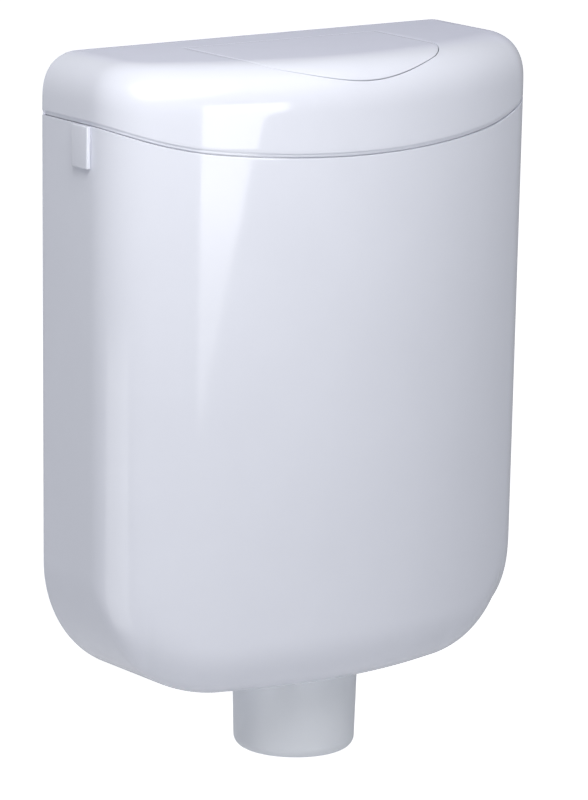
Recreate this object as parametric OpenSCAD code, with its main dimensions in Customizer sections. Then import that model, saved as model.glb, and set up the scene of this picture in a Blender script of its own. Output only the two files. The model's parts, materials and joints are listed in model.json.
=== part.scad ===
// Low-level wall cistern with a D-shaped tank, a domed lid and a hinged flush plate.
// Millimetres. X is to the right, the front faces -Y, the wall is the plane Y = 0, Z is up.
// The origin is on the wall, midway between the two wall screws.

/* [Tank] */
// Width of the tank at its rim
tank_w = 380; // [340:5:420]
// Depth of the tank from the wall to the middle of the front
tank_d = 148; // [140:1:160]
// Height of the tank from the rim at its sides to the bottom
tank_h = 430; // [400:5:460]
// Height of the rim at the sides above the wall screws
rim_z = 60; // [55:1:70]
// Depth of the flat part of each side
side_flat = 62; // [58:1:68]
// Plan radius between side and front
corner_r = 50; // [48:1:54]
// Draft of the walls in degrees
draft = 0.48; // [0.2:0.02:0.8]
// Radius of the lower corners seen from the front
bottom_r = 93; // [80:1:100]
// Radius of the edge between front and bottom
bottom_edge_r = 47; // [40:1:47]
// Wall thickness
wall = 4; // [3.6:0.1:5]

/* [Rim and lid] */
// How far the rim dips from the sides to the middle of the front
rim_dip = 23; // [15:1:28]
// Half length of the shallow middle arc of the rim
rim_mid = 120; // [100:5:130]
// Slope of the rim where it reaches the sides, in degrees
rim_end_slope = 23; // [18:1:26]
// Shadow gap between tank and lid
seam_gap = 3; // [2:0.5:4]
// Height of the inner lip that locates the lid
lip_h = 6; // [4:0.5:8]
// Height of the lid above the rim at the sides
lid_h = 41.5; // [38:0.5:48]
// Radius of the lid's shoulder
lid_edge_r = 30; // [26:1:34]
// Wall thickness of the lid
lid_wall = 2.2; // [1.8:0.1:2.4]
// Room between the lid and the lip
lid_fit = 0.4; // [0.3:0.05:0.6]

/* [Flush plate] */
// Width of the flush plate
plate_w = 174; // [160:1:190]
// Distance from the wall to the rear edge of the plate
plate_rear = 31; // [29:1:34]
// Distance from the front of the tank to the front edge of the plate
plate_setback = 6; // [5:0.5:10]
// Length of the straight sides of the plate
plate_straight = 65; // [58:1:68]
// Plan radius of the front corners of the plate
plate_corner_r = 36; // [30:1:40]
// Thickness of the plate
plate_t = 3; // [2.5:0.1:3.5]
// Gap around the plate
plate_gap = 0.8; // [0.6:0.1:1.2]
// Radius of the hinge pins of the plate
hinge_r = 2.5; // [2:0.1:3]

/* [Outlet] */
// Distance from the wall to the outlet
outlet_y = 59; // [56:1:62]
// Length of the collar below the tank
collar_h = 61.5; // [56:0.5:70]
// Radius of the collar where it meets the tank
collar_r = 47; // [46:0.5:50]
// Radius of the collar at its lower end
collar_low_r = 45.5; // [44:0.5:46]
// Radius of the collar's lower edge
collar_edge_r = 5; // [3:0.5:6]
// Radius of the socket for the flush pipe
pipe_r = 25.4; // [24:0.1:26]
// Depth of the pipe socket
pipe_depth = 30; // [24:1:34]

/* [Inlet] */
// Distance from the wall to the inlet holes
inlet_y = 54; // [50:1:56]
// Depth of the inlet holes below the rim
inlet_drop = 18.5; // [17:0.5:22]
// Thread radius of the inlet
inlet_r = 8.33; // [8:0.01:8.6]
// Width of the blanking cover
blank_w = 20; // [19:0.5:22]
// Height of the blanking cover
blank_h = 31.5; // [28:0.5:33]
// How far the blanking cover stands out
blank_t = 3.7; // [3:0.1:4.5]

/* [Wall fixing] */
// Distance between the wall screws
screw_spacing = 280; // [240:5:290]
// Radius of the wall screw holes
screw_r = 3.5; // [3:0.1:4]

/* [Flush valve] */
// Outer radius of the overflow tube
tube_r = 16; // [15:0.5:17]
// Wall of the overflow tube
tube_wall = 2.5; // [2:0.1:3]
// Height of the top of the overflow tube below the screws
overflow_drop = 15; // [12:1:25]
// Height of the rocker's pivot above the screws
rocker_z = 40; // [38:1:42]
// Distance from the outlet axis to the rocker's pivot
rocker_arm = 34; // [32:1:36]
// Radius of the rocker's pivot pin
pin_r = 3; // [2.5:0.1:3.5]

/* [Fill valve] */
// Distance from the float arm's pivot to the float rod
float_arm_l = 48; // [44:1:52]
// Length of the float rod below the arm
float_rod_l = 66; // [55:1:80]
// Height of the float
float_h = 50; // [40:1:60]
// Distance from the water passage to the pivot of the float arm
tongue_h = 14; // [13:0.5:16]

/* [Fits] */
// Radial clearance of a turning or sliding fit
run_fit = 0.05; // [0.02:0.01:0.1]
// Radial clearance of threaded and plugged joints
thread_fit = 0.1; // [0.05:0.05:0.3]
// Room between pieces that move past each other
move_gap = 0.6; // [0.5:0.1:1]

/* [Hidden] */
$fn = 96;
// Number of sides of the large arcs
fine = 360;
// Small overlap that lets a cut pass through a face
eps = 1;
// How far a limit or cutter runs past the form it meets
cut_over = 30;
// Gap left between two faces that are clamped together
face_gap = 0.2;

// Plan of the tank: flat sides, corner arcs and one front arc, all tangent
half_w = tank_w / 2;
corner_x = half_w - corner_r;
bow = 2 * atan((tank_d - side_flat - corner_r) / corner_x);
front_r = corner_x / sin(bow) + corner_r;
front_y = corner_x / tan(bow) - side_flat;
bottom_z = rim_z - tank_h;
form_top = rim_z + cut_over;
lid_top = rim_z + lid_h;

// How far a wall has drawn in at a height
function drawn(z) = (z - rim_z) * tan(draft);

// Rim curve seen from the front: a shallow middle arc and two steeper end arcs
rim_join = (2 * rim_dip - (half_w - rim_mid) * rim_end_slope * PI / 180) / half_w * 180 / PI;
rim_mid_r = rim_mid / sin(rim_join);
rim_end_r = (half_w - rim_mid) / (sin(rim_end_slope) - sin(rim_join));
rim_end_x = half_w - rim_end_r * sin(rim_end_slope);
rim_end_z = rim_z + rim_end_r * cos(rim_end_slope);
rim_mid_z = rim_end_z + (rim_mid_r - rim_end_r) * cos(rim_join);
rim_step = 13;
rim_steps = ceil(half_w / rim_step) + 1;
function rim_at(x) = abs(x) < rim_mid ? rim_mid_z - sqrt(rim_mid_r * rim_mid_r - x * x)
    : rim_end_z - sqrt(rim_end_r * rim_end_r - pow(abs(x) - rim_end_x, 2));

// The space above the rim curve, raised by lift
module above_rim(lift) {
    top = lid_top + 2 * eps - lift;
    translate([0, cut_over, lift]) rotate([90, 0, 0]) linear_extrude(tank_d + 2 * cut_over)
        polygon(concat([for (n = [-rim_steps:rim_steps]) [n * rim_step, rim_at(n * rim_step)]],
            [[rim_steps * rim_step, top], [-rim_steps * rim_step, top]]));
}

// D-shaped plan between a rear line and a bowed front, inset by i
module d_outline(w, rear, straight, corner, bow_angle, i, rear_i) {
    side = w / 2 - corner;
    corner_y = -rear - straight;
    arc_r = side / sin(bow_angle) + corner;
    reach = 2 * arc_r;
    translate([-w / 2 + i, corner_y]) square([w - 2 * i, straight - rear_i]);
    for (s = [-1, 1]) translate([s * side, corner_y]) circle(corner - i);
    intersection() {
        translate([0, side / tan(bow_angle) + corner_y]) circle(arc_r - i, $fn = fine);
        polygon([[-side, corner_y], [side, corner_y],
            [side + reach * sin(bow_angle), corner_y - reach * cos(bow_angle)],
            [-side - reach * sin(bow_angle), corner_y - reach * cos(bow_angle)]]);
    }
}

// How far one rounding passes the next, so that they cross and are not merely tangent
blend_cross = 0.6;
low_x = half_w + drawn(bottom_z + bottom_r) - bottom_r;

// Front view of the tank with its drafted sides and two lower corners
module front_outline(i) {
    low_z = bottom_z + bottom_r;
    top = form_top + i;
    polygon([[-half_w - drawn(low_z) + i, low_z], [half_w + drawn(low_z) - i, low_z],
        [half_w + drawn(top) - i, top], [-half_w - drawn(top) + i, top]]);
    translate([-low_x, bottom_z + i]) square([2 * low_x, bottom_r]);
    for (s = [-1, 1]) translate([s * low_x, low_z]) circle(bottom_r - i, $fn = fine);
}

// Drafted front and the rounded edge below it, turned about the axis of the front arc
module front_edge(i) {
    edge_z = bottom_z + bottom_edge_r - blend_cross;
    edge_x = front_r + drawn(edge_z) - bottom_edge_r;
    top = form_top + i + eps;
    translate([0, front_y, 0]) rotate_extrude($fn = fine) {
        polygon([[0, edge_z], [front_r + drawn(edge_z) - i, edge_z],
            [front_r + drawn(top) - i, top], [0, top]]);
        translate([0, edge_z - bottom_edge_r + i]) square([edge_x, bottom_edge_r]);
        intersection() {
            translate([edge_x, edge_z]) circle(bottom_edge_r - i);
            translate([edge_x - eps, edge_z - bottom_edge_r]) square([bottom_edge_r + eps, bottom_edge_r]);
        }
    }
}

// Long wedge along Z with one rounded edge; its faces look along X and at an angle from X
module rounded_wedge(r, angle) {
    reach = 2 * tank_h;
    translate([0, 0, -reach]) linear_extrude(2 * reach) {
        circle(r);
        translate([-reach, -reach]) square([reach + r, reach]);
        rotate(angle) translate([-reach, 0]) square([reach + r, reach]);
    }
}

// Drafted corner between side and front on the +X side, eased so that it crosses both
corner_ease = 4;
corner_turn = (90 - bow) / 2;
module side_corner(i) {
    translate([corner_x, -side_flat, rim_z]) rotate([draft * (1 - sin(bow)) / cos(bow), draft, 0])
        mirror([0, 1, 0]) translate(-corner_ease * [cos(corner_turn), sin(corner_turn), 0])
            rounded_wedge(corner_r - i + corner_ease, 2 * corner_turn);
}

// Where two flats meet; each is given by its angle and its distance from the axis
function flats_meet(a, from_a, b, from_b) =
    [from_a * sin(b) - from_b * sin(a), from_b * cos(a) - from_a * cos(b)] / sin(b - a);

// Wedge of flats that eases the edge between front and lower corner on the +X side
wedge_x = low_x + (bottom_r - bottom_edge_r) * cos(45);
wedge_z = bottom_z + bottom_r - (bottom_r - bottom_edge_r) * sin(45);
wedge_front_r = front_r + drawn(wedge_z) - bottom_edge_r;
wedge_turn = asin(wedge_x / wedge_front_r);
wedge_side = [cos(45), 0, -sin(45)];
wedge_front = [sin(wedge_turn), -cos(wedge_turn), 0];
wedge_run = cross(wedge_side, wedge_front) / norm(cross(wedge_side, wedge_front));
wedge_across = cross(wedge_run, wedge_side);
wedge_angle = acos(wedge_side * wedge_front);
wedge_flats = 4;
wedge_ease = 2;
module corner_wedge(i) {
    r = bottom_edge_r - i;
    reach = 2 * tank_h;
    turns = [for (k = [0:wedge_flats]) wedge_angle * k / wedge_flats];
    from_axis = [for (k = [0:wedge_flats]) k % wedge_flats == 0 ? r + wedge_ease : r];
    corners = [for (k = [0:wedge_flats - 1])
        flats_meet(turns[k], from_axis[k], turns[k + 1], from_axis[k + 1])];
    far = corners[wedge_flats - 1] + reach * [-sin(wedge_angle), cos(wedge_angle)];
    multmatrix([[wedge_side[0], wedge_across[0], wedge_run[0], wedge_x],
        [wedge_side[1], wedge_across[1], wedge_run[1], front_y - wedge_front_r * cos(wedge_turn)],
        [wedge_side[2], wedge_across[2], wedge_run[2], wedge_z]])
    translate([0, 0, -reach]) linear_extrude(2 * reach)
        polygon(concat(corners,
            [far, [-2 * reach, far[1]], [-2 * reach, -reach], [r + wedge_ease, -reach]]));
}

// What lies outside the wedge on the +X side
module corner_cut(i) {
    difference() {
        translate([0, -tank_d - 2 * cut_over, bottom_z - 2 * cut_over])
            cube([half_w + 2 * cut_over, tank_d + 4 * cut_over, tank_h / 2]);
        corner_wedge(i);
    }
}

// Whole tank form inset by i, starting at a distance from the wall
module tank_form(i, back) {
    difference() {
        intersection() {
            translate([0, -back, 0]) rotate([90, 0, 0]) linear_extrude(tank_d + 2 * cut_over)
                front_outline(i);
            front_edge(i);
            side_corner(i);
            mirror([1, 0, 0]) side_corner(i);
        }
        corner_cut(i);
        mirror([1, 0, 0]) corner_cut(i);
    }
}

// Front view of the lid with its two shoulders
shoulder_z = lid_top - lid_edge_r;
lid_low = rim_z - 2 * rim_dip;
module lid_outline(i) {
    shoulder_x = half_w + blend_cross - lid_edge_r;
    translate([-half_w - 2 * eps, lid_low - eps]) square([tank_w + 4 * eps, shoulder_z - lid_low + eps]);
    translate([-shoulder_x, lid_low]) square([2 * shoulder_x, lid_top - i - lid_low]);
    for (s = [-1, 1]) translate([s * shoulder_x, shoulder_z]) circle(lid_edge_r - i);
}

// Shoulder along the front, turned about the axis of the front arc
module lid_front_edge(i) {
    edge_x = front_r + blend_cross - lid_edge_r;
    edge_z = shoulder_z + blend_cross;
    translate([0, front_y, 0]) rotate_extrude($fn = fine) {
        translate([0, lid_low - 2 * eps]) square([front_r + cut_over, edge_z - lid_low + 2 * eps]);
        translate([0, lid_low]) square([edge_x, edge_z + lid_edge_r - i - lid_low]);
        translate([edge_x, edge_z]) circle(lid_edge_r - i);
    }
}

// Shoulder round the plan corner on the +X side
module lid_corner_edge(i) {
    turn = (90 - bow) / 2;
    translate([corner_x, -side_flat, shoulder_z]) rotate([0, 0, -turn])
        translate([corner_r - lid_edge_r, 0, 0]) rotate([90, 0, 0])
            rounded_wedge(lid_edge_r - i + blend_cross, 90);
}

// Whole lid form inset by i, starting at a distance from the wall
module lid_form(i, back) {
    intersection() {
        translate([0, 0, lid_low - 3 * eps]) linear_extrude(lid_top + 4 * eps - lid_low)
            d_outline(tank_w, 0, side_flat, corner_r, bow, i, back);
        translate([0, cut_over, 0]) rotate([90, 0, 0]) linear_extrude(tank_d + 2 * cut_over) lid_outline(i);
        lid_front_edge(i);
        lid_corner_edge(i);
        mirror([1, 0, 0]) lid_corner_edge(i);
    }
}

// Upright prism on the plan of the flush plate, inset by i
plate_side_x = plate_w / 2 - plate_corner_r;
plate_front = tank_d - plate_setback;
plate_bow = 2 * atan((plate_front - plate_rear - plate_straight - plate_corner_r) / plate_side_x);
module plate_prism(i) {
    translate([0, 0, shoulder_z - eps]) linear_extrude(lid_edge_r + 2 * eps)
        d_outline(plate_w, plate_rear, plate_straight, plate_corner_r, plate_bow, i, i);
}

// Cylinder along X from x0 to x1
module rod_x(x0, x1, r) {
    translate([x0, 0, 0]) rotate([0, 90, 0]) cylinder(h = x1 - x0, r = r);
}

// Ring or tube along Z
module tube_z(z0, z1, r, bore) {
    translate([0, 0, z0]) difference() {
        cylinder(h = z1 - z0, r = r);
        translate([0, 0, -eps]) cylinder(h = z1 - z0 + 2 * eps, r = bore);
    }
}

// Places that several pieces share
lip_in = lid_wall + lid_fit;
inlet_z = rim_z - inlet_drop;
inlet_hole_r = inlet_r + 3 * thread_fit;
side_x = half_w + drawn(inlet_z);
module at_inlet() translate([0, -inlet_y, inlet_z]) children();
module at_outlet() translate([0, -outlet_y, 0]) children();

// Outlet stack, from the bottom of the tank
gasket_t = 2;
flange_t = 4;
flange_r = 40;
spigot_r = pipe_r + 5;
seat_r = pipe_r - 3;
outlet_hole_r = spigot_r + 1;
floor_z = bottom_z + wall;
flange_z = floor_z + gasket_t;
seat_z = flange_z + flange_t + 3;
spigot_low = bottom_z - collar_h + 6;
nut_h = 14;
nut_r = spigot_r + 10;

// Bridge and its two bosses on the back wall
boss_r = 6;
boss_l = 8;
boss_x = 46;
boss_z = rocker_z - 8;
bridge_y = wall + boss_l;
bridge_t = 4;
bridge_h = 18;
bridge_arm_x = 28;
bridge_end = 8;
pivot_y = outlet_y + rocker_arm;
bridge_screw_r = 2;
bridge_screw_l = boss_l - 1.5;
screw_tip_gap = 0.5;
screw_head_h = 3;
screw_head_r = bridge_screw_r + 2;

module boss_places() {
    for (s = [-1, 1]) translate([s * boss_x, 0, boss_z]) rotate([90, 0, 0]) children();
}

module tank() {
    color("#eceef4") difference() {
        union() {
            difference() {
                tank_form(0, 0);
                tank_form(wall, wall);
            }
            boss_places() translate([0, 0, wall / 2]) cylinder(h = bridge_y - wall / 2, r = boss_r);
        }
        above_rim(lip_h);
        difference() {
            above_rim(-seam_gap);
            tank_form(lip_in, lip_in);
        }
        for (s = [-1, 1]) translate([s * screw_spacing / 2, eps, 0]) rotate([90, 0, 0])
            cylinder(h = wall + 2 * eps, r = screw_r);
        at_outlet() translate([0, 0, bottom_z - eps]) cylinder(h = wall + 2 * eps, r = outlet_hole_r);
        at_inlet() rod_x(-half_w - eps, half_w + eps, inlet_hole_r);
        boss_places() translate([0, 0, bridge_y - bridge_screw_l]) cylinder(h = boss_l, r = bridge_screw_r);
    }
}

// Hinge of the plate under the lid
hinge_y = plate_rear + 8;
hinge_z = lid_top - plate_t - 6;
lug_w = 6;
lug_x = plate_w / 2 - 28;
lug_r = hinge_r + 3;
lug_root = 9;
plate_lug_x = lug_x - lug_w - move_gap;

// Cross bar in the lid that seats the return spring
spring_y = hinge_y + 24;
bar_w = 18;
bar_t = 4;
bar_z = lid_top - plate_t - 22;
hanger_w = 5;
hanger_x = plate_w / 2 + hanger_w / 2 + 3;
bar_top = bar_z + bar_t;

// Pads that carry the lid on the lip
pad_w = 10;
pad_h = 10;
pad_t = wall + 1.5;
rest_gap = 0.3;

module hinge_lug() {
    difference() {
        union() {
            rod_x(-lug_w / 2, lug_w / 2, lug_r);
            translate([-lug_w / 2, 0, -lug_r]) cube([lug_w, hinge_y - plate_rear + lug_root, 2 * lug_r]);
            translate([-lug_w / 2, hinge_y - plate_rear + plate_gap, -lug_r])
                cube([lug_w, lug_root - plate_gap, lid_top - lid_wall / 2 - hinge_z + lug_r]);
        }
        rod_x(-lug_w, lug_w, hinge_r + run_fit);
    }
}

module lid() {
    color("#eceef4") {
        difference() {
            intersection() {
                difference() {
                    lid_form(0, 0);
                    lid_form(lid_wall, lid_wall);
                }
                above_rim(0);
            }
            plate_prism(0);
        }
        intersection() {
            for (s = [-1, 1], y = [pad_w, side_flat - pad_w])
                translate([s * (half_w - pad_t / 2 - lid_wall / 2) - pad_t / 2, -y - pad_w / 2, rim_z])
                    cube([pad_t, pad_w, lip_h + pad_h]);
            above_rim(lip_h + rest_gap);
        }
        for (s = [-1, 1]) translate([s * lug_x, -hinge_y, hinge_z]) hinge_lug();
        translate([-hanger_x - hanger_w / 2, -spring_y - bar_w / 2, bar_z])
            cube([2 * hanger_x + hanger_w, bar_w, bar_t]);
        for (s = [-1, 1]) translate([s * hanger_x - hanger_w / 2, -spring_y - bar_w / 2, bar_z])
            cube([hanger_w, bar_w, lid_top - lid_wall / 2 - bar_z]);
    }
}

module hinge_pins() {
    color("silver") for (s = [0, 1]) mirror([s, 0, 0]) translate([0, -hinge_y, hinge_z])
        rod_x(plate_lug_x - lug_w / 2, lug_x + lug_w / 2, hinge_r);
}

// Push finger under the plate, above the rocker's front arm
push_arm = 25;
finger_y = pivot_y + push_arm;
finger_w = 14;
finger_t = 7;
rocker_up = 4;
finger_z = rocker_z + rocker_up + move_gap;

module flush_plate() {
    color("#f1f2f7") {
        intersection() {
            difference() {
                lid_form(0, 0);
                lid_form(plate_t, plate_t);
            }
            plate_prism(plate_gap);
        }
        for (s = [-1, 1]) translate([s * plate_lug_x, -hinge_y, hinge_z]) difference() {
            union() {
                rod_x(-lug_w / 2, lug_w / 2, lug_r);
                translate([-lug_w / 2, -lug_r, 0]) cube([lug_w, 2 * lug_r, lid_top - plate_t / 2 - hinge_z]);
            }
            rod_x(-lug_w, lug_w, hinge_r + run_fit);
        }
        translate([0, -finger_y, finger_z + finger_t / 2]) rod_x(-finger_w / 2, finger_w / 2, finger_t / 2);
        translate([-finger_w / 2, -finger_y - finger_t / 2, finger_z + finger_t / 2])
            cube([finger_w, finger_t, lid_top - plate_t / 2 - finger_z - finger_t / 2]);
    }
}

// Return spring: one wire wound as a helix between the cross bar and the plate
wire_r = 0.6;
spring_r = 5.5;
spring_turns = 5;
curl_rings = 8;
wire_sides = 6;
end_gap = 0.05;
spring_z0 = bar_top + wire_r + end_gap;
spring_rise = lid_top - plate_t - bar_top - 2 * (wire_r + end_gap);
spring_pitch = spring_rise / spring_turns;
spring_n = spring_turns * curl_rings;
function coil_at(k) = [spring_r * cos(360 * k / curl_rings), spring_r * sin(360 * k / curl_rings),
    spring_rise * k / spring_n];
function wire_ring(k) = let (a = 360 * k / curl_rings, out = [cos(a), sin(a), 0],
    run = [-sin(a) * spring_r, cos(a) * spring_r, spring_pitch / (2 * PI)], up = cross(out, run) / norm(run))
    [for (j = [0:wire_sides - 1]) coil_at(k) + wire_r * (cos(360 * j / wire_sides) * out
        - sin(360 * j / wire_sides) * up)];
spring_points = [for (k = [0:spring_n]) each wire_ring(k)];
spring_faces = concat(
    [[for (j = [0:wire_sides - 1]) j]],
    [for (k = [0:spring_n - 1], j = [0:wire_sides - 1]) let (b = k * wire_sides, m = (j + 1) % wire_sides)
        each [[b + j, b + wire_sides + j, b + m], [b + m, b + wire_sides + j, b + wire_sides + m]]],
    [[for (j = [wire_sides - 1:-1:0]) spring_n * wire_sides + j]]);
// Least gap between neighbouring curls
spring_gap = min([for (k = [0:spring_n - curl_rings], m = [k + curl_rings / 2:spring_n])
    norm(coil_at(m) - coil_at(k))]) - 2 * wire_r;
echo(spring_gap = spring_gap);

module return_spring() {
    color("silver") translate([0, -spring_y, spring_z0]) polyhedron(spring_points, spring_faces);
}

// Blanking cover of the unused inlet hole on the left, and the clip that holds it
blank_x = -side_x - face_gap;
clip_t = 3;
clip_grip = 3;
clip_r = inlet_r + 5;
module inlet_blank() {
    color("#eceef4") at_inlet() {
        translate([blank_x - blank_t, -blank_w / 2, -blank_h / 2]) cube([blank_t, blank_w, blank_h]);
        rod_x(blank_x - eps, -inner_x + clip_t + clip_grip, inlet_hole_r - thread_fit);
    }
}
inner_x = side_x - wall;
module blank_clip() {
    color("#9aa0a8") at_inlet() difference() {
        rod_x(-inner_x + face_gap, -inner_x + clip_t, clip_r);
        rod_x(-half_w, 0, inlet_hole_r);
    }
}

// Inlet on the right: nipple, washer and nut in the wall
nipple_out = 11;
nipple_in = 20;
nipple_wall = 3.5;
nipple_collar_r = inlet_r + 4;
nipple_collar_t = 2.5;
washer_t = 2;
washer_x = inner_x - face_gap - washer_t;
inlet_nut_t = 7;
inlet_nut_r = inlet_r + 6;
module inlet_nipple() {
    color("#c9b27a") at_inlet() difference() {
        union() {
            rod_x(inner_x - nipple_in, side_x + nipple_out, inlet_r);
            rod_x(side_x + face_gap, side_x + nipple_collar_t, nipple_collar_r);
        }
        rod_x(0, half_w + nipple_out + eps, inlet_r - nipple_wall);
    }
}
module inlet_washer() {
    color("#2b2d30") at_inlet() difference() {
        rod_x(washer_x, washer_x + washer_t, clip_r);
        rod_x(0, half_w, inlet_r + thread_fit);
    }
}
module inlet_nut() {
    color("#e4e6ea") at_inlet() difference() {
        translate([washer_x - inlet_nut_t, 0, 0]) rotate([0, 90, 0])
            cylinder(h = inlet_nut_t, r = inlet_nut_r, $fn = 6);
        rod_x(0, half_w, inlet_r + thread_fit);
    }
}

// Fill valve along X: body, diaphragm, bonnet and piston
body_r = 12;
nut_gap = 0.5;
body_x1 = washer_x - inlet_nut_t - nut_gap;
valve_reach = 48;
body_x0 = inner_x - valve_reach;
passage_r = 4;
diaphragm_t = 2;
bonnet_t = 10;
bonnet_x0 = body_x0 - diaphragm_t - bonnet_t;
piston_x0 = bonnet_x0 - 6;
piston_x1 = body_x0 - diaphragm_t - 3;
arm_pivot_x = piston_x0 - 4;
arm_pivot_z = inlet_z - tongue_h;
port_x = (body_x0 + inner_x - nipple_in) / 2;
port_r = 6;
port_l = 24;
ear_y = 8;
ear_t = 3;
ear_end = 5;
ear_top = 2;
arm_pin_r = 2;

module fill_valve_body() {
    color("#f4f5f6") at_inlet() difference() {
        union() {
            rod_x(body_x0, body_x1, body_r);
            translate([port_x, 0, -port_l]) cylinder(h = port_l, r = port_r);
        }
        rod_x(inner_x - nipple_in - nut_gap, half_w, inlet_r + thread_fit);
        rod_x(body_x0 - eps, inner_x, passage_r);
        translate([port_x, 0, -port_l - eps]) cylinder(h = port_l + eps, r = passage_r);
    }
}
module diaphragm() {
    color("#2b2d30") at_inlet() rod_x(body_x0 - diaphragm_t, body_x0, body_r - 0.5);
}
module valve_bonnet() {
    color("#3c78b4") at_inlet() difference() {
        union() {
            rod_x(bonnet_x0, bonnet_x0 + bonnet_t, body_r + 1);
            for (s = [-1, 1])
                translate([arm_pivot_x - ear_end, s * (ear_y + ear_t / 2) - ear_t / 2, -tongue_h - ear_end])
                    cube([bonnet_x0 - arm_pivot_x + ear_end + bonnet_t / 2, ear_t,
                        tongue_h + ear_end - ear_top]);
        }
        rod_x(bonnet_x0 - 2 * bonnet_t, body_x0, passage_r + run_fit);
        translate([arm_pivot_x, body_r * 2, -tongue_h]) rotate([90, 0, 0])
            cylinder(h = 4 * body_r, r = arm_pin_r + run_fit);
    }
}
module valve_piston() {
    color("#e8e9ec") at_inlet() rod_x(piston_x0, piston_x1, passage_r);
}

// Float arm, its pin, the threaded rod and the float
module at_arm() translate([arm_pivot_x, -inlet_y, arm_pivot_z]) children();
rod_r = 3;
rod_head = 10;
knob_h = 5;
knob_r = rod_r + 2.5;
arm_half = ear_y - move_gap;
tongue_w = 8;
tongue_back = 2;
arm_t = 6;
arm_hub_r = 5;
arm_eye_r = rod_r + 4;
float_r = 23;
float_wall = 2;
rod_grip = 10;
float_z = -float_rod_l - float_h + rod_grip;

module arm_pin() {
    color("silver") at_arm() rotate([90, 0, 0])
        cylinder(h = 2 * (ear_y + ear_t + 1), r = arm_pin_r, center = true);
}
module float_arm() {
    color("#3c78b4") at_arm() difference() {
        union() {
            rotate([90, 0, 0]) cylinder(h = 2 * arm_half, r = arm_hub_r, center = true);
            translate([-tongue_back, -tongue_w / 2, 0])
                cube([tongue_back + piston_x0 - arm_pivot_x - rest_gap, tongue_w, tongue_h + passage_r]);
            translate([-float_arm_l, -tongue_w / 2, -arm_t / 2]) cube([float_arm_l, tongue_w, arm_t]);
            translate([-float_arm_l, 0, -arm_t / 2]) cylinder(h = arm_t, r = arm_eye_r);
        }
        rotate([90, 0, 0]) cylinder(h = 4 * arm_half, r = arm_pin_r + run_fit, center = true);
        translate([-float_arm_l, 0, -arm_t]) cylinder(h = 2 * arm_t, r = rod_r + thread_fit);
    }
}
module float_rod() {
    color("#e8e9ec") at_arm() translate([-float_arm_l, 0, 0]) {
        translate([0, 0, -float_rod_l]) cylinder(h = float_rod_l + rod_head, r = rod_r);
        translate([0, 0, rod_head]) cylinder(h = knob_h, r = knob_r);
    }
}
module float() {
    color("#f4f5f6") at_arm() translate([-float_arm_l, 0, float_z]) difference() {
        cylinder(h = float_h, r = float_r);
        translate([0, 0, -float_wall]) cylinder(h = float_h, r = float_r - float_wall);
        translate([0, 0, -eps]) cylinder(h = float_h + 2 * eps, r = rod_r + thread_fit);
    }
}
fill_tube_wall = 2;
fill_tube_rise = 60;
fill_tube_low = bottom_z + fill_tube_rise;
module fill_tube() {
    color("#dfe2e6") translate([port_x, -inlet_y, 0])
        tube_z(fill_tube_low, inlet_z - body_r - 2, port_r + thread_fit + fill_tube_wall,
            port_r + thread_fit);
}

// Bridge on the back wall that carries the rocker
bridge_half = boss_x + boss_r + 2;
module bridge() {
    color("#e4e6ea") difference() {
        union() {
            translate([-bridge_half, -bridge_y - bridge_t, boss_z - bridge_h / 2])
                cube([2 * bridge_half, bridge_t, bridge_h]);
            for (s = [-1, 1])
                translate([s * (bridge_arm_x + bridge_t / 2) - bridge_t / 2, -pivot_y - bridge_end,
                    rocker_z - bridge_end])
                    cube([bridge_t, pivot_y + bridge_end - bridge_y, 2 * bridge_end]);
        }
        boss_places() cylinder(h = bridge_y + 2 * bridge_t, r = bridge_screw_r + 3 * thread_fit);
        translate([0, -pivot_y, rocker_z]) rod_x(-half_w, half_w, pin_r + run_fit);
    }
}
module bridge_screws() {
    color("silver") boss_places() {
        translate([0, 0, bridge_y - bridge_screw_l + screw_tip_gap])
            cylinder(h = bridge_screw_l + bridge_t, r = bridge_screw_r - thread_fit);
        translate([0, 0, bridge_y + bridge_t]) cylinder(h = screw_head_h, r = screw_head_r);
    }
}
pin_end = 3;
module rocker_pin() {
    color("silver") translate([0, -pivot_y, rocker_z])
        rod_x(-bridge_arm_x - bridge_t - pin_end, bridge_arm_x + bridge_t + pin_end, pin_r);
}

// Rocker: front arm under the push finger, two rear prongs under the lift bar
rocker_half = bridge_arm_x - move_gap;
rocker_t = 5;
hub_r = pin_r + 4;
front_arm_half = 14;
front_arm_end = 8;
prong_end = 5;
prong_in = tube_r + 2;
lift_bar_r = 3;
module rocker() {
    color("#3c78b4") translate([0, -pivot_y, rocker_z]) difference() {
        union() {
            rod_x(-rocker_half, rocker_half, hub_r);
            translate([-front_arm_half, -push_arm - front_arm_end, rocker_up - rocker_t])
                cube([2 * front_arm_half, push_arm + front_arm_end, rocker_t]);
            for (s = [0, 1]) mirror([s, 0, 0]) translate([prong_in, 0, rocker_up - rocker_t])
                cube([rocker_half - prong_in, rocker_arm + prong_end, rocker_t]);
        }
        rod_x(-half_w, half_w, pin_r + run_fit);
    }
}

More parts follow.
